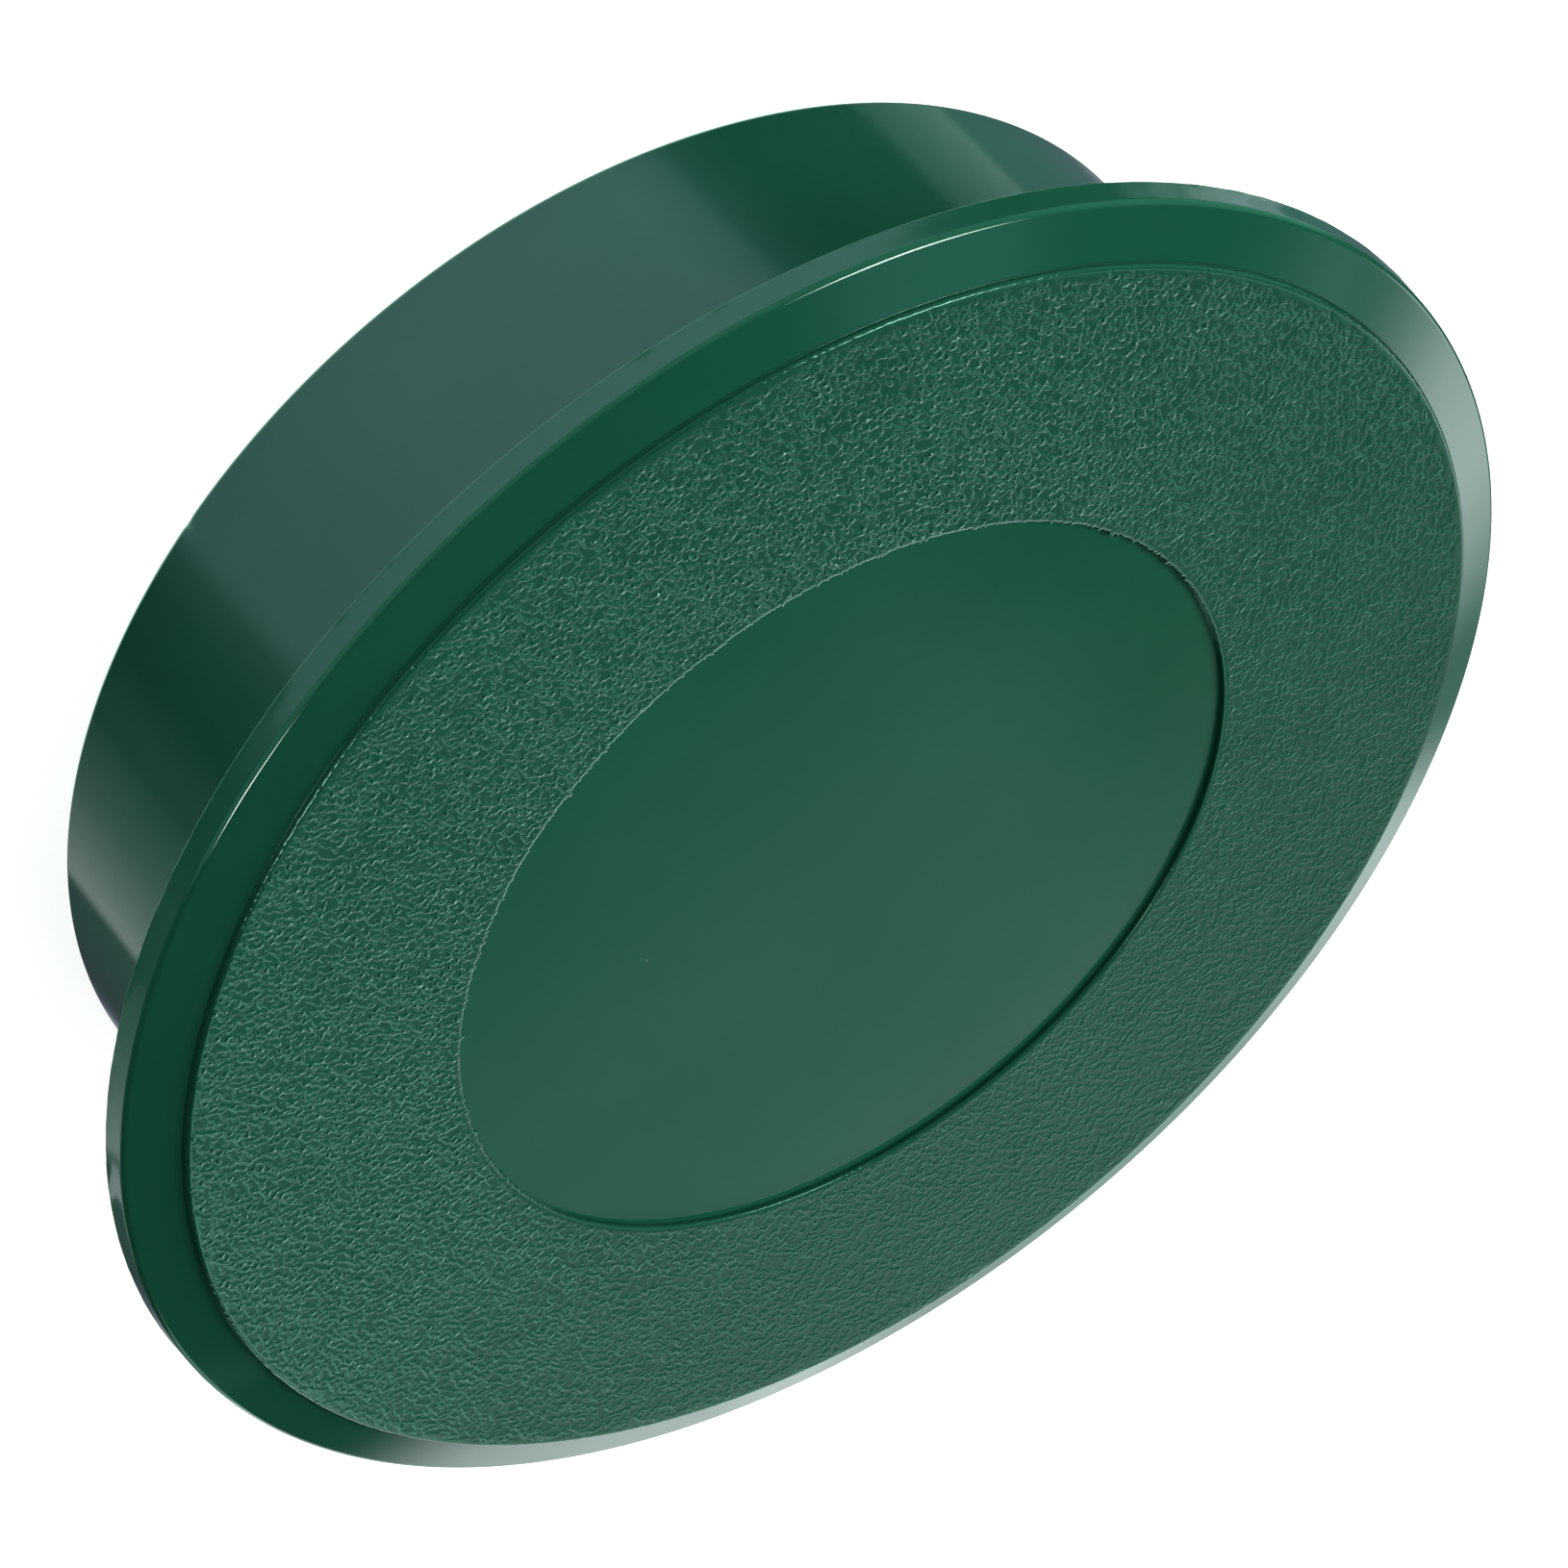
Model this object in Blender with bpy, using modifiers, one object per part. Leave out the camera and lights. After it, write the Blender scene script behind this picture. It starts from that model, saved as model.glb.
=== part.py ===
"""Golf hole cup cover: a bevelled flanged plate, a raised grip ring and a plug skirt.

Metres, +Z up. The cover stands on the lower rim of its skirt, as when it is set down on a table,
and the origin is the centre of that rim. Every piece is turned about the Z axis.
"""
import math

import bpy
from mathutils import Vector

# Driving dimensions
FLANGE_RADIUS = 0.0625  # widest point, at the lower edge of the rim
RIM_TOP_RADIUS = 0.06235  # the rim leans in a little towards its top
FACE_RADIUS = 0.05804  # outer edge of the raised ring, where the bevel starts
DECAL_RADIUS = 0.03477  # inner edge of the raised ring, around the smooth centre
SKIRT_RADIUS = 0.0515
TOTAL_HEIGHT = 0.0311
FLANGE_DEPTH = 0.00446  # from the ring's top down to the flange's underside
RING_STEP = 0.00062  # how far the ring stands above the centre and above the bevel
RIM_TOP_DEPTH = 0.00215  # from the ring's top down to the rim's upper edge
SEAT_DEPTH = 0.0008  # depth of the channel that the ring sits in
WALL = 0.0025  # skirt wall at its lower rim
SKIRT_DRAFT = 0.0002  # how much the skirt's wall thickens from its lower rim up to the plate
GROOVE_DEPTH = 0.0014  # depth of the groove under the plate that holds the skirt's upper edge
GAP = 0.0003  # clearance between neighbouring pieces
RIM_ROUND = 0.0004
SMALL_ROUND = 0.0002
SKIRT_ROUND = 0.0005
SEGMENTS = 96
ARC_STEPS = 3

# Heights that follow from them
PLATE_TOP = TOTAL_HEIGHT - RING_STEP
SEAT_FLOOR = PLATE_TOP - SEAT_DEPTH
RIM_TOP = TOTAL_HEIGHT - RIM_TOP_DEPTH
UNDERSIDE = TOTAL_HEIGHT - FLANGE_DEPTH
GROOVE_TOP = UNDERSIDE + GROOVE_DEPTH

MOULDED_GREEN = (0.011, 0.078, 0.045, 1.0)


def clear_scene():
    """Remove whatever the startup file holds."""
    for thing in list(bpy.data.objects):
        bpy.data.objects.remove(thing)


def plastic(name, roughness):
    """A Principled material in the cover's green."""
    material = bpy.data.materials.new(name)
    material.use_nodes = True
    shader = material.node_tree.nodes["Principled BSDF"]
    shader.inputs["Base Color"].default_value = MOULDED_GREEN
    shader.inputs["Roughness"].default_value = roughness
    shader.inputs["Metallic"].default_value = 0.0
    material.diffuse_color = MOULDED_GREEN
    return material


def corner_arc(before, corner, after, radius):
    """Points of the arc that rounds one corner of a profile."""
    towards_before = (before - corner).normalized()
    towards_after = (after - corner).normalized()
    half_angle = towards_before.angle(towards_after) / 2
    middle = (towards_before + towards_after).normalized()
    centre = corner + middle * (radius / math.sin(half_angle))
    setback = radius / math.tan(half_angle)
    start = (corner + towards_before * setback - centre).normalized()
    end = (corner + towards_after * setback - centre).normalized()
    steps = range(ARC_STEPS + 1)
    return [centre + start.slerp(end, step / ARC_STEPS).normalized() * radius for step in steps]


def profile(corners, closed):
    """Turn (radius, height, rounding) corners into profile points."""
    places = [Vector((radius, height)) for radius, height, _ in corners]
    points = []
    for index, (_, _, rounding) in enumerate(corners):
        at_end = not closed and index in (0, len(corners) - 1)
        if rounding == 0 or at_end:
            points.append(places[index])
        else:
            after = places[(index + 1) % len(places)]
            points.extend(corner_arc(places[index - 1], places[index], after, rounding))
    return points


def turned(name, corners, material, collection, closed=True):
    """A solid turned about Z from a profile that runs down its outer side."""
    points = profile(corners, closed)
    edges = [(index, index + 1) for index in range(len(points) - 1)]
    if closed:
        edges.append((len(points) - 1, 0))
    mesh = bpy.data.meshes.new(name)
    mesh.from_pydata([(point.x, 0.0, point.y) for point in points], edges, [])
    mesh.materials.append(material)
    piece = bpy.data.objects.new(name, mesh)
    collection.objects.link(piece)

    screw = piece.modifiers.new("Turn", "SCREW")
    screw.axis = "Z"
    screw.angle = math.tau
    screw.steps = SEGMENTS
    screw.render_steps = SEGMENTS
    screw.use_merge_vertices = True
    screw.merge_threshold = 0.00001
    screw.use_smooth_shade = True
    piece.modifiers.new("Even shading", "WEIGHTED_NORMAL")
    return piece


def bevel_height(radius):
    """Height of the sloping bevel at a radius."""
    share = (radius - FACE_RADIUS) / (RIM_TOP_RADIUS - FACE_RADIUS)
    return PLATE_TOP + share * (RIM_TOP - PLATE_TOP)


def cover_plate(collection):
    """Flanged plate: channel for the ring on top, groove for the skirt's edge underneath."""
    seat_inner = DECAL_RADIUS - GAP
    seat_outer = FACE_RADIUS + GAP
    groove_outer = SKIRT_RADIUS + GAP
    groove_inner = SKIRT_RADIUS - WALL - SKIRT_DRAFT - GAP
    corners = [
        (0.0, PLATE_TOP, 0),
        (seat_inner, PLATE_TOP, 0),
        (seat_inner, SEAT_FLOOR, 0),
        (seat_outer, SEAT_FLOOR, 0),
        (seat_outer, bevel_height(seat_outer), 0),
        (RIM_TOP_RADIUS, RIM_TOP, RIM_ROUND),
        (FLANGE_RADIUS, UNDERSIDE, SMALL_ROUND),
        (groove_outer, UNDERSIDE, 0),
        (groove_outer, GROOVE_TOP, 0),
        (groove_inner, GROOVE_TOP, 0),
        (groove_inner, UNDERSIDE, 0),
        (0.0, UNDERSIDE, 0),
    ]
    return turned("cover_plate", corners, plastic("glossy_green", 0.22), collection, closed=False)


def grip_ring(collection):
    """Raised ring that lies in the plate's channel."""
    underneath = SEAT_FLOOR + GAP
    corners = [
        (DECAL_RADIUS, TOTAL_HEIGHT, SMALL_ROUND),
        (FACE_RADIUS, TOTAL_HEIGHT, SMALL_ROUND),
        (FACE_RADIUS, underneath, 0),
        (DECAL_RADIUS, underneath, 0),
    ]
    return turned("grip_ring", corners, plastic("textured_green", 0.45), collection)


def plug_skirt(collection):
    """Cylindrical skirt whose upper edge sits in the plate's groove."""
    upper_edge = GROOVE_TOP - GAP
    corners = [
        (SKIRT_RADIUS, upper_edge, 0),
        (SKIRT_RADIUS, 0.0, SKIRT_ROUND),
        (SKIRT_RADIUS - WALL, 0.0, SKIRT_ROUND),
        (SKIRT_RADIUS - WALL - SKIRT_DRAFT, upper_edge, 0),
    ]
    return turned("plug_skirt", corners, plastic("glossy_green_skirt", 0.25), collection)


def main():
    clear_scene()
    collection = bpy.data.collections.new("hole_cup_cover")
    bpy.context.scene.collection.children.link(collection)
    cover_plate(collection)
    grip_ring(collection)
    plug_skirt(collection)


main()
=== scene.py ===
import math

import bpy
import numpy as np
from mathutils import Matrix, Vector


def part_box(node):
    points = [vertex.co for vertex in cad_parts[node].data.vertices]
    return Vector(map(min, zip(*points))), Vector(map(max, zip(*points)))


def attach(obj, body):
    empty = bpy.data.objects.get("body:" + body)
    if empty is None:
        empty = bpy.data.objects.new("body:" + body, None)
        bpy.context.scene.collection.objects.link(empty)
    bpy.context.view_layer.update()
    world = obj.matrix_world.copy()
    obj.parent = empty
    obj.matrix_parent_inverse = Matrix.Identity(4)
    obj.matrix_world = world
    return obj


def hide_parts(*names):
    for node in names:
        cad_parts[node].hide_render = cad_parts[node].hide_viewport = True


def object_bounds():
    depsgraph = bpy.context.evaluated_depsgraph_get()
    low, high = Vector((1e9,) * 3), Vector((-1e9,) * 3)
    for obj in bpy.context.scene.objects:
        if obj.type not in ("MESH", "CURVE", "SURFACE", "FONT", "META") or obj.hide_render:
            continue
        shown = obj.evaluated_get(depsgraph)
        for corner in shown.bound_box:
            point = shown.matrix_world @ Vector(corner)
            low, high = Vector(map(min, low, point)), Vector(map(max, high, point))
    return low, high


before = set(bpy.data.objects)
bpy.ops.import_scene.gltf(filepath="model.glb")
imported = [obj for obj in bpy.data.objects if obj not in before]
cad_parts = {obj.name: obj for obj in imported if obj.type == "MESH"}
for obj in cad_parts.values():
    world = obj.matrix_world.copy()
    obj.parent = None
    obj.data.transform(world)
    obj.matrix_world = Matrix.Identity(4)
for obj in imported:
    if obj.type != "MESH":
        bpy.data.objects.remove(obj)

CAD_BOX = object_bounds()
MM = 0.001
SEED = 7

# Sizes read from the CAD nodes
PLATE_LOW, PLATE_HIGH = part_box("cover_plate")
RING_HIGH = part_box("grip_ring")[1]
SKIRT_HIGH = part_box("plug_skirt")[1]
FLANGE_RADIUS = PLATE_HIGH.x
PLATE_TOP = PLATE_HIGH.z
UNDERSIDE = PLATE_LOW.z
RING_RADIUS = RING_HIGH.x
RING_TOP = RING_HIGH.z
SKIRT_RADIUS = SKIRT_HIGH.x
SKIRT_TOP = SKIRT_HIGH.z

# Sizes of the moulding that the boxes don't hold
DECAL_RADIUS = 34.77 * MM  # inner edge of the grip ring
RIM_LEAN = 0.15 * MM  # how far the rim leans in towards its top
RIM_TOP = RING_TOP - 2.15 * MM
RIM_ROUND = 0.55 * MM  # upper edge of the rim
RIM_FOOT_ROUND = 0.10 * MM  # lower edge of the rim
FLASH = 0.03 * MM  # how far the parting-line flash stands out of the rim
SEAM = 0.02 * MM  # hairline between neighbouring pieces
SEAT_DEPTH = 0.78 * MM  # of the channel that the ring lies in
RING_SINK = 0.74 * MM  # how deep the ring lies in it
RING_FOOT = 0.05 * MM  # fillet at the outer foot of the ring
EDGE_ROUND = 0.32 * MM  # outer edge of the ring's top
GROOVE_DEPTH = 1.4 * MM  # of the groove that holds the skirt's upper edge
SKIRT_WALL = 2.5 * MM
SKIRT_DRAFT = 0.2 * MM  # how much thicker the skirt's wall is under the plate
SKIRT_ROUND = 0.45 * MM  # edges of the skirt's lower rim
FOOT = 0.3 * MM  # fillet at the foot of the skirt, as wide as the CAD's clearance
NICK_ANGLE = math.radians(292.35)  # where the skirt's lower rim has a small nick
NICK_DEPTH = 0.12 * MM
NICK_WIDTH = 0.35 * MM

# The ring's leather grain: wavelength and relative band width of each of its noises
COARSE_CURLS = (1.55 * MM, 0.40)
FINE_CURLS = (0.70 * MM, 0.35)
BREAKS = (0.52 * MM, 0.30)  # where the curls are broken
PIPS = (0.75 * MM, 0.30)
GRAIN_STRETCH = 1.4  # how much longer the curls are along Y than along X
GRAIN_DEPTH = 0.11 * MM  # from full relief down to none, on the near side of the ring
FAR_SHARE = 0.42  # how much shallower the grain is on the far side
PIP_HEIGHT = 0.074 * MM
PIPS_TOWARDS = math.radians(285)  # the pips stand tallest on this side
SMOOTH_RELIEF = 0.35  # relief of the smooth margins beside the grain
LIP_WIDTH = 0.85 * MM  # smooth margin outside the grain
LIP_UNEVEN = 0.20 * MM
LIP_DROP = 0.06 * MM  # how far the lip slopes down towards the ring's outer edge

SEGMENTS = 720
RING_SEGMENTS = 3000
ARC_STEPS = 7
FOOT_STEPS = 7
SUPPORT = 0.05 * MM  # how close to its ends a straight run of a profile gets its extra points
SHARP_ANGLE = math.radians(40)  # steeper edges are shaded sharp
GRAIN_SPACING = 0.10 * MM  # between the ring's rows of vertices
GRAIN_FIELD = 2.1 * RING_RADIUS  # side of the square that holds a grain noise
GRAIN_CELLS = 2400  # along that side


# ---------------------------------------------------------------- profiles and meshes


def corner_arc(before, corner, after, radius):
    """Points of the arc that rounds one corner of a profile."""
    towards_before = (before - corner).normalized()
    towards_after = (after - corner).normalized()
    half_angle = towards_before.angle(towards_after) / 2
    middle = (towards_before + towards_after).normalized()
    centre = corner + middle * (radius / math.sin(half_angle))
    setback = radius / math.tan(half_angle)
    start = (corner + towards_before * setback - centre).normalized()
    end = (corner + towards_after * setback - centre).normalized()
    steps = range(ARC_STEPS + 1)
    return [centre + start.slerp(end, step / ARC_STEPS).normalized() * radius for step in steps]


def rounded(corners):
    """Points of an open profile from (radius, height, rounding) corners, with sharp ends."""
    places = [Vector((radius, height)) for radius, height, _ in corners]
    points = []
    for index, (_, _, rounding) in enumerate(corners):
        if rounding:
            points += corner_arc(places[index - 1], places[index], places[index + 1], rounding)
        else:
            points.append(places[index])
    return points


def spaced(points, spacing):
    """Adds points along long straight runs, and one close to each of their ends."""
    dense = [points[0]]
    for here, there in zip(points, points[1:]):
        run = there - here
        if run.length > 4 * SUPPORT:
            inner_start = here + run.normalized() * SUPPORT
            inner_end = there - run.normalized() * SUPPORT
            count = max(1, math.ceil((inner_end - inner_start).length / spacing))
            dense += [inner_start.lerp(inner_end, step / count) for step in range(count + 1)]
        dense.append(there)
    return dense


def turned_grid(points, segments):
    """Radii and heights of a turned profile, a row for each of its points, and the angles."""
    radius = np.array([point.x for point in points])[:, None] + np.zeros(segments)
    height = np.array([point.y for point in points])[:, None] + np.zeros(segments)
    angle = np.arange(segments) * math.tau / segments
    return radius, height, angle


def ring_faces(rows, columns, closed_rows):
    """Quads between neighbouring rows of points that run right round the axis."""
    row = np.arange(rows if closed_rows else rows - 1)[:, None]
    column = np.arange(columns)[None, :]
    below = (row + 1) % rows
    beside = (column + 1) % columns
    corners = [row * columns + column, below * columns + column]
    corners += [below * columns + beside, row * columns + beside]
    return np.stack(corners, axis=-1).reshape(-1, 4)


def turned_points(radius, height, angle):
    """Vertices of a grid from its radii, heights and angles, row after row."""
    points = [radius * np.cos(angle), radius * np.sin(angle), height + 0 * angle]
    return np.stack(points, axis=-1).reshape(-1, 3)


def add_piece(name, points, faces, node, material):
    """A smooth-shaded mesh that stands for a CAD node and takes its finish from a slot."""
    mesh = bpy.data.meshes.new(name)
    mesh.from_pydata(points.tolist(), [], faces)
    mesh.shade_smooth()
    mesh.set_sharp_from_angle(angle=SHARP_ANGLE)
    mesh.materials.append(material)
    piece = bpy.data.objects.new(name, mesh)
    bpy.context.scene.collection.objects.link(piece)
    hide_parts(node)
    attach(piece, "root")
    return piece


# ---------------------------------------------------------------- noise fields


def wrapped_noise(random, count, wavelength):
    """Smooth noise round a circle, of unit spread, with waves about this many samples long."""
    spectrum = np.fft.rfft(random.standard_normal(count))
    waves = np.arange(len(spectrum)) * wavelength / count
    values = np.fft.irfft(spectrum * np.exp(-(waves**2)), count)
    return values / values.std()


def grain_field(random, wavelength, spread):
    """Square field of band-pass noise of unit spread for the leather grain."""
    spectrum = np.fft.rfft2(random.standard_normal((GRAIN_CELLS, GRAIN_CELLS)))
    along = np.fft.rfftfreq(GRAIN_CELLS, GRAIN_FIELD / GRAIN_CELLS)[None, :]
    across = np.fft.fftfreq(GRAIN_CELLS, GRAIN_FIELD / GRAIN_CELLS)[:, None]
    frequency = np.hypot(along, across) * wavelength
    band = np.exp(-(((frequency - 1) / spread) ** 2))
    field = np.fft.irfft2(spectrum * band, (GRAIN_CELLS, GRAIN_CELLS))
    return field / field.std()


def grain_noise(random, band, x, y):
    """A new grain field's values at points of the plane, between its cells."""
    field = grain_field(random, *band)
    column = (x / GRAIN_FIELD + 0.5) * (GRAIN_CELLS - 1)
    row = (y / GRAIN_FIELD + 0.5) * (GRAIN_CELLS - 1)
    left = np.floor(column).astype(int)
    low = np.floor(row).astype(int)
    over = column - left
    up = row - low
    bottom = field[low, left] * (1 - over) + field[low, left + 1] * over
    top = field[low + 1, left] * (1 - over) + field[low + 1, left + 1] * over
    return bottom * (1 - up) + top * up


def smooth_step(value, low, high):
    """0 below low, 1 above high and smooth between."""
    share = np.clip((value - low) / (high - low), 0, 1)
    return share * share * (3 - 2 * share)


# ---------------------------------------------------------------- node helpers


def add_node(tree, kind, **settings):
    """A node with its properties set."""
    node = tree.nodes.new(kind)
    for name, value in settings.items():
        setattr(node, name, value)
    return node


def plug(tree, socket, value):
    """Links an output to a socket, or sets the socket's own value."""
    if isinstance(value, bpy.types.NodeSocket):
        tree.links.new(value, socket)
    else:
        socket.default_value = value


def sum_up(tree, operation, *values):
    """A Math node."""
    node = add_node(tree, "ShaderNodeMath", operation=operation)
    for socket, value in zip(node.inputs, values):
        plug(tree, socket, value)
    return node.outputs[0]


def ramp_between(tree, value, low, high, start=0.0, end=1.0):
    """start below low, end above high and smooth between."""
    node = add_node(tree, "ShaderNodeMapRange", interpolation_type="SMOOTHSTEP")
    for socket, number in zip(node.inputs, (value, low, high, start, end)):
        plug(tree, socket, number)
    return node.outputs[0]


def mix_colours(tree, share, first, second, blend="MIX"):
    """A Mix node for colours."""
    node = add_node(tree, "ShaderNodeMix", data_type="RGBA", blend_type=blend)
    plug(tree, node.inputs["Factor"], share)
    plug(tree, node.inputs[6], first)
    plug(tree, node.inputs[7], second)
    return node.outputs[2]


def noise(tree, place, scale, detail=2.0, roughness=0.5):
    """A noise texture's value, with scale in waves a metre."""
    node = add_node(tree, "ShaderNodeTexNoise")
    plug(tree, node.inputs["Vector"], place)
    plug(tree, node.inputs["Scale"], scale)
    plug(tree, node.inputs["Detail"], detail)
    plug(tree, node.inputs["Roughness"], roughness)
    return node.outputs[0]


def bump(tree, height, distance, before=None):
    """A bump of this height in metres."""
    node = add_node(tree, "ShaderNodeBump")
    plug(tree, node.inputs["Height"], height)
    node.inputs["Distance"].default_value = distance
    if before is not None:
        plug(tree, node.inputs["Normal"], before)
    return node.outputs[0]


# ---------------------------------------------------------------- materials

DEEP_GREEN = (0.0052, 0.0625, 0.0325, 1.0)
LIGHT_GREEN = (0.0068, 0.0690, 0.0365, 1.0)
RING_DEEP_GREEN = (0.0048, 0.0482, 0.0254, 1.0)
RING_LIGHT_GREEN = (0.0057, 0.0532, 0.0284, 1.0)
RING_SHEEN = (0.60, 0.98, 0.86, 1.0)
PALE_DUST = (0.20, 0.22, 0.16, 1.0)
DARK_SPECK = (0.004, 0.020, 0.012, 1.0)
PLASTIC_IOR = 1.5
POLISHED = (0.055, 0.085)  # roughness from the clearest to the dullest patches
GRAINED = (0.14, 0.19)
PEEL_HEIGHT = 0.0016 * MM
STREAK_HEIGHT = 0.0012 * MM
SPARKLE_HEIGHT = 0.003 * MM


def polar_place(tree, place):
    """Distance from the axis, angle round it and height of a place."""
    split = add_node(tree, "ShaderNodeSeparateXYZ")
    plug(tree, split.inputs[0], place)
    x, y, z = split.outputs
    squares = sum_up(tree, "ADD", sum_up(tree, "MULTIPLY", x, x), sum_up(tree, "MULTIPLY", y, y))
    radius = sum_up(tree, "SQRT", squares)
    angle = sum_up(tree, "ARCTAN2", y, x)
    return radius, angle, z


def specks(tree, place, scale, size, share):
    """1 inside a few small specks: one Voronoi cell in so many holds one."""
    cells = add_node(tree, "ShaderNodeTexVoronoi", feature="F1")
    plug(tree, cells.inputs["Vector"], place)
    plug(tree, cells.inputs["Scale"], scale)
    chosen = add_node(tree, "ShaderNodeSeparateColor")
    plug(tree, chosen.inputs[0], cells.outputs["Color"])
    picked = sum_up(tree, "LESS_THAN", chosen.outputs[0], share)
    near = ramp_between(tree, cells.outputs["Distance"], size * 0.5, size, 1.0, 0.0)
    return sum_up(tree, "MULTIPLY", picked, near)


def plastic_colour(tree, place, deep, light):
    """Moulded green with faint flow mottling, a little dust and a few dark specks."""
    mottle = noise(tree, place, scale=45.0, detail=4.0, roughness=0.6)
    colour = mix_colours(tree, ramp_between(tree, mottle, 0.3, 0.7), deep, light)
    dust = specks(tree, place, scale=260.0, size=0.045, share=0.03)
    colour = mix_colours(tree, sum_up(tree, "MULTIPLY", dust, 0.3), colour, PALE_DUST)
    dark = specks(tree, place, scale=200.0, size=0.05, share=0.02)
    return mix_colours(tree, sum_up(tree, "MULTIPLY", dark, 0.5), colour, DARK_SPECK)


def start_plastic(name, deep, light):
    """A material with its Principled shader and the coordinates of the part."""
    material = bpy.data.materials.new(name)
    material.use_nodes = True
    tree = material.node_tree
    shader = tree.nodes["Principled BSDF"]
    shader.inputs["IOR"].default_value = PLASTIC_IOR
    place = add_node(tree, "ShaderNodeTexCoord").outputs["Object"]
    plug(tree, shader.inputs["Base Color"], plastic_colour(tree, place, deep, light))
    return material, tree, shader, place


def glossy_material(name, streaks_run):
    """Polished moulding: orange peel, uneven gloss and faint tool streaks round or down it."""
    material, tree, shader, place = start_plastic(name, DEEP_GREEN, LIGHT_GREEN)
    radius, angle, height = polar_place(tree, place)
    if streaks_run == "round":
        across = sum_up(tree, "MULTIPLY", radius, 900.0)
        along = sum_up(tree, "MULTIPLY", angle, 4.0)
    else:
        across = sum_up(tree, "MULTIPLY", angle, 50.0)
        along = sum_up(tree, "MULTIPLY", height, 4.0)
    joined = add_node(tree, "ShaderNodeCombineXYZ")
    plug(tree, joined.inputs[0], across)
    plug(tree, joined.inputs[1], along)
    streaks = noise(tree, joined.outputs[0], scale=1.0, detail=3.0, roughness=0.6)
    cloud = noise(tree, place, scale=70.0, detail=3.0, roughness=0.55)
    plug(tree, shader.inputs["Roughness"], ramp_between(tree, cloud, 0.25, 0.75, *POLISHED))
    peel = bump(tree, noise(tree, place, scale=330.0), PEEL_HEIGHT)
    plug(tree, shader.inputs["Normal"], bump(tree, streaks, STREAK_HEIGHT, peel))
    return material


def textured_material(name):
    """Leather-grained moulding: duller, with a fine sparkle between the grains."""
    material, tree, shader, place = start_plastic(name, RING_DEEP_GREEN, RING_LIGHT_GREEN)
    cloud = noise(tree, place, scale=160.0, detail=3.0, roughness=0.55)
    plug(tree, shader.inputs["Roughness"], ramp_between(tree, cloud, 0.25, 0.75, *GRAINED))
    shader.inputs["Specular Tint"].default_value = RING_SHEEN
    sparkle = noise(tree, place, scale=6500.0, roughness=0.6)
    plug(tree, shader.inputs["Normal"], bump(tree, sparkle, SPARKLE_HEIGHT))
    return material


# ---------------------------------------------------------------- the three pieces


def bevel_height(radius):
    """Height of the sloping bevel at a radius."""
    share = (radius - RING_RADIUS) / (FLANGE_RADIUS - RIM_LEAN - RING_RADIUS)
    return PLATE_TOP + share * (RIM_TOP - PLATE_TOP)


def cover_plate():
    """Flanged plate with its bevelled rim, the ring's seat, the skirt's groove and a gate mark."""
    random = np.random.default_rng(SEED)
    rim_radius = FLANGE_RADIUS - FLASH
    seat_outer = RING_RADIUS + 4 * SEAM
    seat_floor = PLATE_TOP - SEAT_DEPTH
    groove_outer = SKIRT_RADIUS + FOOT + SEAM
    groove_inner = SKIRT_RADIUS - SKIRT_WALL - SKIRT_DRAFT - FOOT - SEAM
    groove_top = UNDERSIDE + GROOVE_DEPTH
    gate_dish = UNDERSIDE + 0.35 * MM
    gate_stub = UNDERSIDE + 0.05 * MM
    corners = [
        (0.4 * MM, PLATE_TOP, 0),
        (DECAL_RADIUS, PLATE_TOP, 0),
        (DECAL_RADIUS, seat_floor, 0),
        (seat_outer, seat_floor, 0),
        (seat_outer, bevel_height(seat_outer), 0),
        (rim_radius - RIM_LEAN, RIM_TOP, RIM_ROUND),
        (rim_radius, UNDERSIDE, RIM_FOOT_ROUND),
        (groove_outer, UNDERSIDE, 0.03 * MM),
        (groove_outer, groove_top, 0),
        (groove_inner, groove_top, 0),
        (groove_inner, UNDERSIDE, 0.03 * MM),
        (3.2 * MM, UNDERSIDE, 0.15 * MM),
        (3.0 * MM, gate_dish, 0.1 * MM),
        (0.9 * MM, gate_dish, 0.1 * MM),
        (0.75 * MM, gate_stub, 0.06 * MM),
        (0.2 * MM, gate_stub, 0),
    ]
    points = spaced(rounded(corners), 1.2 * MM)
    radius, height, angle = turned_grid(points, SEGMENTS)

    # parting-line flash along the rim's lower edge, in broken dashes
    dashes = smooth_step(wrapped_noise(random, SEGMENTS, 3.0), -0.6, 1.2)
    outside = radius > rim_radius - 0.3 * MM
    near_edge = np.exp(-(((height - UNDERSIDE - 0.05 * MM) / (0.06 * MM)) ** 2)) * outside
    radius = radius + near_edge * FLASH * (0.15 + 0.85 * dashes)

    # the first and the last row close the plate in the middle of its top and underside
    vertices = turned_points(radius, height, angle)
    faces = ring_faces(len(points), SEGMENTS, closed_rows=False).tolist()
    faces.append(list(range(SEGMENTS)))
    last_row = (len(points) - 1) * SEGMENTS
    faces.append(list(range(last_row + SEGMENTS - 1, last_row - 1, -1)))
    material = glossy_material("glossy_green_plate", "round")
    return add_piece("cover_plate_moulding", vertices, faces, "cover_plate", material)


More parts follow.
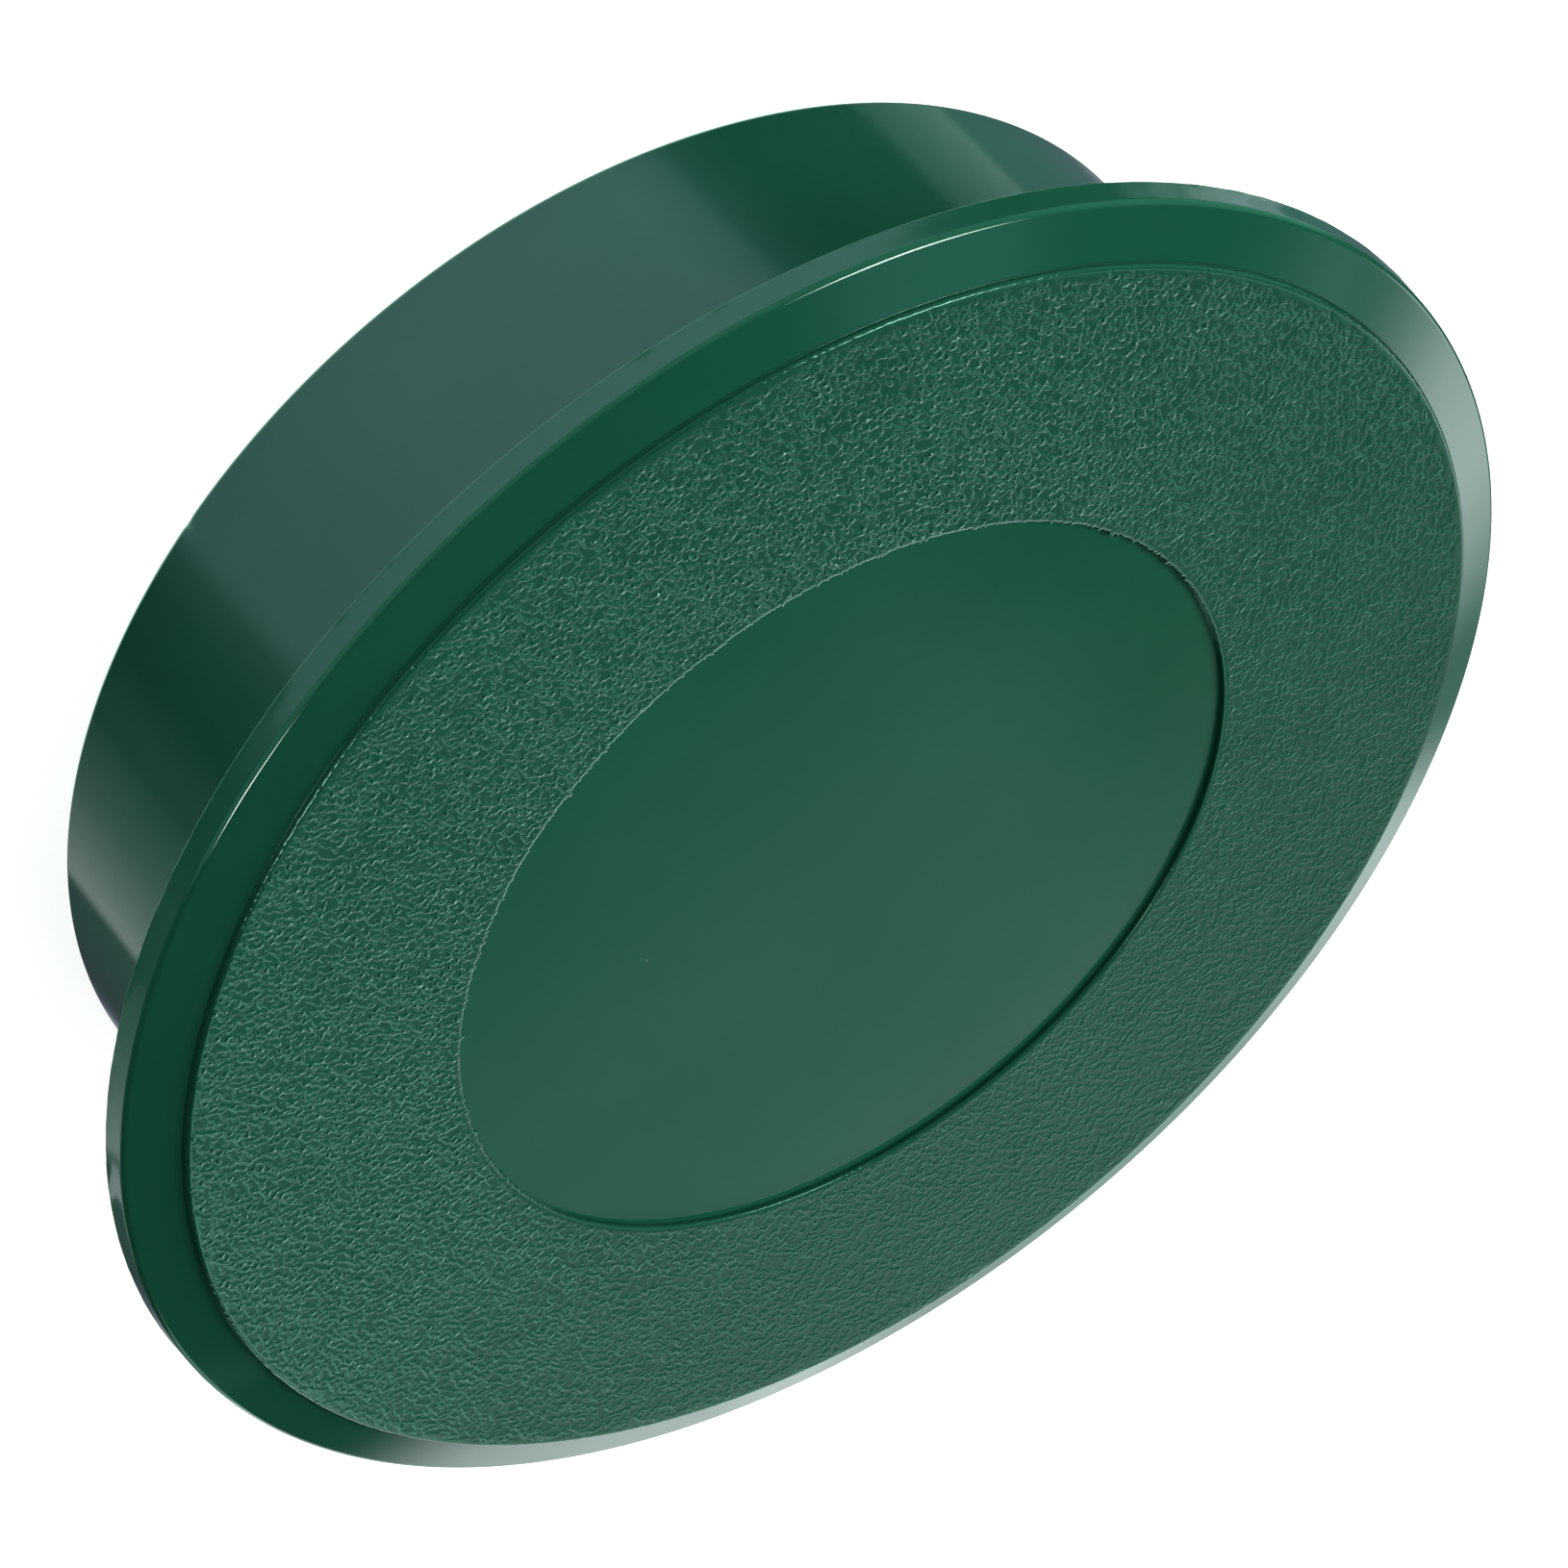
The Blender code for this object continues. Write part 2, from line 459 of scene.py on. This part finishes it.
def ring_profile():
    """Up the inner foot and wall, across the top, down the outer wall and its foot."""
    bottom = PLATE_TOP - RING_SINK
    points = [Vector((DECAL_RADIUS, bottom)), Vector((DECAL_RADIUS, PLATE_TOP))]
    points.append(Vector((DECAL_RADIUS, RING_TOP - 0.30 * MM)))

    # soft inner edge: how far across and how far below the top, in millimetres
    soft_edge = [(0, 0.21), (0.015, 0.14), (0.05, 0.080), (0.12, 0.044), (0.25, 0.020), (0.42, 0.006)]
    for across, down in soft_edge:
        points.append(Vector((DECAL_RADIUS + across * MM, RING_TOP - down * MM)))

    top_start = DECAL_RADIUS + 0.56 * MM
    top_end = RING_RADIUS - EDGE_ROUND
    top_count = round((top_end - top_start) / GRAIN_SPACING)
    points += [Vector((radius, RING_TOP)) for radius in np.linspace(top_start, top_end, top_count)[:-1]]

    inner_top = Vector((DECAL_RADIUS, RING_TOP))
    outer_top = Vector((RING_RADIUS, RING_TOP))
    outer_foot = Vector((RING_RADIUS, PLATE_TOP))
    rim_edge = Vector((FLANGE_RADIUS - RIM_LEAN, RIM_TOP))
    points += corner_arc(inner_top, outer_top, outer_foot, EDGE_ROUND)
    points += corner_arc(outer_top, outer_foot, rim_edge, RING_FOOT)
    points.append(points[-1] + Vector((0.01 * MM, -0.03 * MM)))
    points.append(Vector((RING_RADIUS + SEAM, bottom + 0.6 * MM)))
    points.append(Vector((RING_RADIUS + SEAM, bottom)))
    return points


def inner_flash(random, angle):
    """How far beads and flaps of ragged flash overhang the ring's inner edge."""
    ragged = 0.10 + 0.90 * smooth_step(-np.sin(angle), -0.35, 0.45)
    beads = smooth_step(wrapped_noise(random, RING_SEGMENTS, 5.0), 0.7, 1.5)
    flaps = smooth_step(wrapped_noise(random, RING_SEGMENTS, 16.0), 0.7, 1.6)
    burr = (0.20 * beads + 0.22 * flaps * (0.6 + 0.4 * beads)) * MM
    burr += 0.03 * MM * wrapped_noise(random, RING_SEGMENTS, 4.0)
    return burr * ragged


def grain_drop(random, radius, angle):
    """How far the grained top lies below the ring's highest level."""
    # thin curly ridges between shallow cells, and pips
    x = radius * np.cos(angle)
    y = radius * np.sin(angle)
    coarse = grain_noise(random, COARSE_CURLS, x, y / GRAIN_STRETCH)
    fine = grain_noise(random, FINE_CURLS, x, y / GRAIN_STRETCH)
    breaks = grain_noise(random, BREAKS, x, y)
    border = coarse + 0.60 * fine
    ridges = np.exp(-((border / 0.52) ** 2)) * smooth_step(breaks, -1.7, 0.2)
    relief = 0.52 * ridges + 0.04 * np.tanh(border)
    pips = smooth_step(grain_noise(random, PIPS, x, y), 1.20, 2.00)
    pips *= 0.12 + 0.88 * smooth_step(np.cos(angle - PIPS_TOWARDS), -0.3, 0.6)

    # the grain fades into smooth margins: a narrow one inside and an uneven lip outside
    lip = LIP_WIDTH + LIP_UNEVEN * wrapped_noise(random, RING_SEGMENTS, 14.0)
    lip = lip - 0.35 * MM * smooth_step(np.cos(angle), -0.2, 0.6)
    inner_margin = smooth_step(radius - DECAL_RADIUS, 0.30 * MM, 0.65 * MM)
    outer_margin = smooth_step(RING_RADIUS - radius, lip - 0.35 * MM, lip + 0.25 * MM)
    grained = inner_margin * outer_margin
    relief = SMOOTH_RELIEF * (1 - grained) + relief * grained

    depth = GRAIN_DEPTH * (1 - FAR_SHARE * smooth_step(np.sin(angle), -0.9, 0.9))
    lower = np.clip(depth * (1.0 - relief) - PIP_HEIGHT * pips * grained, 0, None)
    return lower + LIP_DROP * smooth_step(radius, RING_RADIUS - 1.2 * MM, RING_RADIUS + 0.4 * MM)


def grip_ring():
    """Raised ring: leather grain on top, a smooth lip outside and ragged flash at both edges."""
    random = np.random.default_rng(SEED + 1)
    points = ring_profile()
    radius, height, angle = turned_grid(points, RING_SEGMENTS)
    on_top = smooth_step(height, RING_TOP - 0.32 * MM, RING_TOP - 0.22 * MM)
    high_up = smooth_step(height, RING_TOP - 0.40 * MM, RING_TOP - 0.10 * MM)

    near_inner = np.exp(-((radius - DECAL_RADIUS) / (0.30 * MM)) ** 2)
    radius = radius - near_inner * high_up * inner_flash(random, angle)

    # finer flash along the outer edge, which also dips here and there
    near_outer = np.exp(-((radius - RING_RADIUS) / (0.16 * MM)) ** 2)
    burr = 0.04 * MM * smooth_step(wrapped_noise(random, RING_SEGMENTS, 7.0), 0.2, 1.8)
    burr += 0.012 * MM * wrapped_noise(random, RING_SEGMENTS, 4.0)
    radius = radius + near_outer * high_up * np.clip(burr, 0, None)
    dips = 0.05 * MM * smooth_step(wrapped_noise(random, RING_SEGMENTS, 5.0), -1, 2)
    height = height - near_outer * high_up * dips

    height = height - on_top * grain_drop(random, radius, angle)
    vertices = turned_points(radius, height, angle)
    faces = ring_faces(len(points), RING_SEGMENTS, closed_rows=True).tolist()
    material = textured_material("textured_green_ring")
    return add_piece("grip_ring_moulding", vertices, faces, "grip_ring", material)


def foot_fillet(wall, side):
    """Fillet from the plate down to the skirt's wall, on its outer (1) or inner (-1) side."""
    turns = np.linspace(math.pi / 2, 0.0, FOOT_STEPS)
    return [Vector((wall + side * FOOT * (1 - math.cos(turn)), UNDERSIDE - FOOT * (1 - math.sin(turn))))
            for turn in turns]


def plug_skirt():
    """Skirt with rounded lower rim, fillets where it meets the plate, and a small nick."""
    wall_top = SKIRT_RADIUS - SKIRT_WALL - SKIRT_DRAFT
    rim = [
        (SKIRT_RADIUS, UNDERSIDE - FOOT, 0),
        (SKIRT_RADIUS, 0.0, SKIRT_ROUND),
        (SKIRT_RADIUS - SKIRT_WALL, 0.0, SKIRT_ROUND),
        (wall_top, UNDERSIDE - FOOT, 0),
    ]
    walls = spaced(rounded(rim), 1.0 * MM)
    outside = [Vector((SKIRT_RADIUS + FOOT, SKIRT_TOP))] + foot_fillet(SKIRT_RADIUS, 1)[:-1]
    inside = [Vector((wall_top - FOOT, SKIRT_TOP))] + foot_fillet(wall_top, -1)[:-1]
    points = outside + walls + inside[::-1]
    radius, height, angle = turned_grid(points, SEGMENTS)

    # a nick in the lower rim
    beside = (angle - NICK_ANGLE) * SKIRT_RADIUS / NICK_WIDTH
    above = (height - 0.25 * MM) / (0.30 * MM)
    outer = radius > SKIRT_RADIUS - 0.6 * MM
    radius = radius - NICK_DEPTH * np.exp(-(beside**2) - above**2) * outer

    vertices = turned_points(radius, height, angle)
    faces = ring_faces(len(points), SEGMENTS, closed_rows=True).tolist()
    material = glossy_material("glossy_green_skirt", "down")
    return add_piece("plug_skirt_moulding", vertices, faces, "plug_skirt", material)


# ---------------------------------------------------------------- studio

FLOOR_SIZE = 8.0  # metres
FLOOR_COLOUR = (0.80, 0.80, 0.80, 1.0)
FLOOR_GLOW = 0.58  # a light table's glow, as the part receives it
TABLE_GLOW = 0.85  # the same, as the camera sees it
BACKDROP = (1.0, 1.0, 1.0, 1.0)
ROOM_FILL = (0.03, 0.03, 0.03, 1.0)
DARK_ROOM = (0.015, 0.02, 0.02, 1.0)
LIT_TABLE = (1.0, 2.0, 1.7, 1.0)

# What the walls reflect from below their own level: azimuth in degrees, then the radiance
LOWER_STUDIO = [
    (0, 0.15, 0.27, 0.25), (14, 0.33, 0.52, 0.48), (26, 0.60, 0.76, 0.75), (35, 0.80, 0.94, 0.93),
    (37.5, 0.10, 0.15, 0.17), (62, 0.06, 0.07, 0.09), (70, 0.10, 0.11, 0.15), (80, 0.35, 0.38, 0.42),
    (100, 0.30, 0.34, 0.38), (116, 0.12, 0.14, 0.20), (134, 0.12, 0.19, 0.24),
    (147, 0.16, 0.26, 0.31), (149, 0.40, 0.60, 0.60), (158, 0.30, 0.50, 0.50),
    (166, 0.20, 0.35, 0.37), (169, 0.03, 0.05, 0.08), (195, 0.01, 0.02, 0.06),
    (202, 0.06, 0.14, 0.22), (207, 0.15, 0.32, 0.42), (211, 0.50, 0.88, 0.98),
    (219, 0.72, 1.25, 1.38), (250, 0.82, 1.36, 1.55), (270, 0.82, 1.32, 1.54),
    (291, 0.67, 1.18, 1.32), (305, 0.60, 1.05, 1.18), (317, 0.56, 0.96, 1.04),
    (322, 0.20, 0.36, 0.43), (330, 0.07, 0.13, 0.17), (343, 0.03, 0.05, 0.08),
    (352, 0.10, 0.20, 0.20),
]

SLANT = 0.75  # how far those stripes lean, in degrees of azimuth a degree of elevation
SLANT_FROM = 38.5  # degrees below the part's level where they stand at their own azimuths
STRIPES_FADE = (-26.0, -18.0)  # elevations where the stripes give way to the dark room
TABLE_FADE = (-54.0, -44.0)  # elevations where the lit table gives way to the stripes

# Panels: azimuth range and softness, elevation range and the softness of its two ends, radiance
PANELS = [
    ("backdrop", 56, 101, 5, -6.5, 8.9, 15, 8, (1.66, 1.81, 1.82)),
    ("backdrop_glow", 74, 95, 10, -6.8, -3.6, 3, 2, (0.54, 0.60, 0.58)),
    ("backdrop_low", 56, 101, 5, -28, -10, 8, 6, (0.60, 1.15, 0.95)),
    ("backdrop_top", 76, 98, 4, 9, 24, 3, 3, (0.52, 1.02, 0.84)),
    ("glint", 79, 99, 4, 7.5, 12.5, 3, 3, (3.3, 4.9, 4.6)),
    ("left_wall", 63, 79, 4, 25, 50, 4, 4, (0.82, 1.80, 1.42)),
    ("left_low", 46, 60, 4, -6, 22, 5, 5, (0.55, 1.15, 0.92)),
    ("right_wall", 102.5, 114, 4, 30, 50, 4, 4, (0.66, 1.50, 1.18)),
    ("ceiling", 72, 112, 6, 40, 62, 6, 6, (0.10, 0.34, 0.23)),
    ("room", 146, 335, 10, -20, 45, 8, 50, (0.24, 0.90, 0.62)),
    ("wall_glow", 98, 112, 8, -12, 9, 6, 6, (0.20, 0.22, 0.27)),
    ("softbox", 105.1, 131, 5, 9, 24, 12, 12, (2.55, 2.70, 2.85)),
    ("softbox_haze", 112, 128, 8, 28, 37, 8, 14, (0.38, 0.52, 0.58)),
    ("haze", 71, 92.8, 3, 24, 35.4, 3, 3, (0.28, 0.42, 0.41)),
    ("low_haze", 71, 93.5, 3, 24, 31.9, 2, 1.6, (0.40, 0.30, 0.34)),
    ("side_haze", 93.5, 104, 3, 22, 33, 3, 3, (0.44, 0.43, 0.45)),
    ("top_lamp", 120, 150, 6, 54, 66, 6, 6, (0.22, 0.50, 0.58)),
    ("key", 160, 188, 6, 53, 66, 5, 5, (24.0, 30.0, 27.0)),
    ("strip", 330, 339, 5, 40, 60, 6, 6, (24.0, 27.0, 25.0)),
    ("table_edge", 136.8, 156, 2, -36.3, -20, 1.5, 1.5, (0.36, 0.42, 0.46)),
    ("table_back", 158, 168, 4, -36.3, -20, 1.5, 1.5, (0.20, 0.35, 0.33)),
    ("table_corner", 34, 41, 1.5, -36.3, -20, 1.5, 1.5, (0.66, 0.72, 0.76)),
]


def window(tree, value, low, high, low_soft, high_soft):
    """1 between low and high, fading round each of them over its own softness."""
    rise = ramp_between(tree, value, low - low_soft / 2, low + low_soft / 2)
    fall = ramp_between(tree, value, high - high_soft / 2, high + high_soft / 2, 1.0, 0.0)
    return sum_up(tree, "MULTIPLY", rise, fall)


def ray_direction(tree):
    """The ray's azimuth as a share of a turn, and its elevation in degrees."""
    split = add_node(tree, "ShaderNodeSeparateXYZ")
    plug(tree, split.inputs[0], add_node(tree, "ShaderNodeTexCoord").outputs["Generated"])
    x, y, z = split.outputs
    turn = sum_up(tree, "DIVIDE", sum_up(tree, "ARCTAN2", y, x), math.tau)
    turn = sum_up(tree, "FRACT", sum_up(tree, "ADD", turn, 1.0))
    elevation = sum_up(tree, "MULTIPLY", sum_up(tree, "ARCSINE", z), 180.0 / math.pi)
    return turn, elevation


def lower_stripes(tree, turn, elevation):
    """The leaning stripes that polished walls show of the studio below their own level."""
    stripes = add_node(tree, "ShaderNodeValToRGB")
    slant = sum_up(tree, "MULTIPLY_ADD", elevation, SLANT / 360, SLANT_FROM * SLANT / 360)
    plug(tree, stripes.inputs[0], sum_up(tree, "ADD", turn, slant))
    stops = stripes.color_ramp.elements
    stops.remove(stops[1])
    for index, (degrees, *radiance) in enumerate(LOWER_STUDIO):
        stop = stops[0] if index == 0 else stops.new(degrees / 360)
        stop.position = degrees / 360
        stop.color = (*radiance, 1.0)
    return stripes.outputs[0]


def studio_gloss(tree):
    """What the gloss sees: a dark room, stripes below it, a lit table under them, and panels."""
    turn, elevation = ray_direction(tree)
    azimuth = sum_up(tree, "MULTIPLY", turn, 360.0)
    low_down = ramp_between(tree, elevation, *STRIPES_FADE, 1.0, 0.0)
    gloss = mix_colours(tree, low_down, DARK_ROOM, lower_stripes(tree, turn, elevation))
    under = ramp_between(tree, elevation, *TABLE_FADE, 1.0, 0.0)
    gloss = mix_colours(tree, under, gloss, LIT_TABLE)
    for _, west, east, side_soft, low, high, low_soft, high_soft, radiance in PANELS:
        sides = window(tree, azimuth, west, east, side_soft, side_soft)
        ends = window(tree, elevation, low, high, low_soft, high_soft)
        patch = sum_up(tree, "MULTIPLY", sides, ends)
        gloss = mix_colours(tree, patch, gloss, (*radiance, 1.0), "ADD")
    return gloss


def studio_world():
    """Plain pale for the camera, an even fill for light, and a studio of panels for gloss."""
    world = bpy.data.worlds.new("studio")
    bpy.context.scene.world = world
    world.use_nodes = True
    world.cycles.sampling_method = "NONE"
    tree = world.node_tree
    tree.nodes.clear()
    rays = add_node(tree, "ShaderNodeLightPath")
    seen = mix_colours(tree, rays.outputs["Is Glossy Ray"], ROOM_FILL, studio_gloss(tree))
    seen = mix_colours(tree, rays.outputs["Is Camera Ray"], seen, BACKDROP)
    background = add_node(tree, "ShaderNodeBackground")
    plug(tree, background.inputs["Color"], seen)
    output = add_node(tree, "ShaderNodeOutputWorld")
    tree.links.new(background.outputs[0], output.inputs[0])


def studio_floor():
    """Pale floor, seen from above only and never in the gloss, that glows like a light table."""
    half = FLOOR_SIZE / 2
    corners = [(-half, -half, 0), (half, -half, 0), (half, half, 0), (-half, half, 0)]
    mesh = bpy.data.meshes.new("studio_floor")
    mesh.from_pydata(corners, [], [(0, 1, 2, 3)])
    floor = bpy.data.objects.new("studio_floor", mesh)
    bpy.context.scene.collection.objects.link(floor)
    floor.visible_glossy = False
    material = bpy.data.materials.new("studio_floor")
    material.use_nodes = True
    tree = material.node_tree
    shader = tree.nodes["Principled BSDF"]
    shader.inputs["Base Color"].default_value = FLOOR_COLOUR
    shader.inputs["Roughness"].default_value = 0.9
    shader.inputs["Specular IOR Level"].default_value = 0.1
    shader.inputs["Emission Color"].default_value = (1.0, 1.0, 1.0, 1.0)
    seen = add_node(tree, "ShaderNodeLightPath").outputs["Is Camera Ray"]
    glow = ramp_between(tree, seen, 0.0, 1.0, FLOOR_GLOW, TABLE_GLOW)
    plug(tree, shader.inputs["Emission Strength"], glow)
    clear = add_node(tree, "ShaderNodeBsdfTransparent")
    sides = add_node(tree, "ShaderNodeMixShader")
    facing = add_node(tree, "ShaderNodeNewGeometry")
    tree.links.new(facing.outputs["Backfacing"], sides.inputs[0])
    tree.links.new(shader.outputs[0], sides.inputs[1])
    tree.links.new(clear.outputs[0], sides.inputs[2])
    tree.links.new(sides.outputs[0], tree.nodes["Material Output"].inputs[0])
    mesh.materials.append(material)


def direction(azimuth, elevation):
    """Unit vector towards an azimuth and elevation in degrees, azimuth 0 along +X."""
    turn = math.radians(azimuth)
    rise = math.radians(elevation)
    return Vector((math.cos(turn) * math.cos(rise), math.sin(turn) * math.cos(rise), math.sin(rise)))


# Area lights: azimuth, elevation, distance, width, height, irradiance at the part
LIGHTS = [
    ("key_softbox", 203, 47, 2.0, 0.70, 1.00, 1.5),
    ("side_softbox", 150, 36, 2.0, 0.90, 0.90, 3.2),
    ("front_fill", 268, 64, 1.0, 0.50, 0.40, 0.84),
    ("back_fill", 90, 15, 0.55, 0.33, 0.14, 1.75),
    ("strip_light", 325, 45, 1.0, 0.10, 0.30, 0.2),
]


def studio_lights():
    """Rectangular softboxes that face the part; the world's panels stand for them in the gloss."""
    centre = (CAD_BOX[0] + CAD_BOX[1]) / 2
    for name, azimuth, elevation, distance, width, height, irradiance in LIGHTS:
        data = bpy.data.lights.new(name, "AREA")
        data.shape = "RECTANGLE"
        data.size = width
        data.size_y = height
        data.energy = irradiance * math.pi * distance**2
        lamp = bpy.data.objects.new(name, data)
        bpy.context.scene.collection.objects.link(lamp)
        towards = direction(azimuth, elevation)
        lamp.location = centre + towards * distance
        lamp.rotation_euler = towards.to_track_quat("Z", "Y").to_euler()
        lamp.visible_camera = False
        lamp.visible_glossy = False


# ---------------------------------------------------------------- camera

VIEW_ELEVATION = 35.0
VIEW_ROLL = 139.246
LENS = 157.7  # millimetres, on a sensor 36 mm wide
CAMERA_PLACE = (-1.179 * MM, -437.443 * MM, 325.995 * MM)


def studio_camera():
    """Long lens from the front, 35 degrees above the part and rolled."""
    data = bpy.data.cameras.new("camera")
    data.lens = LENS
    data.sensor_width = 36.0
    data.clip_start = 0.01
    data.clip_end = 50.0
    camera = bpy.data.objects.new("camera", data)
    bpy.context.scene.collection.objects.link(camera)
    tilt = Matrix.Rotation(math.radians(90.0 - VIEW_ELEVATION), 4, "X")
    roll = Matrix.Rotation(math.radians(VIEW_ROLL), 4, "Z")
    camera.matrix_world = Matrix.Translation(CAMERA_PLACE) @ tilt @ roll
    bpy.context.scene.camera = camera


bpy.context.scene.view_settings.view_transform = "Standard"
cover_plate()
grip_ring()
plug_skirt()
studio_world()
studio_floor()
studio_lights()
studio_camera()
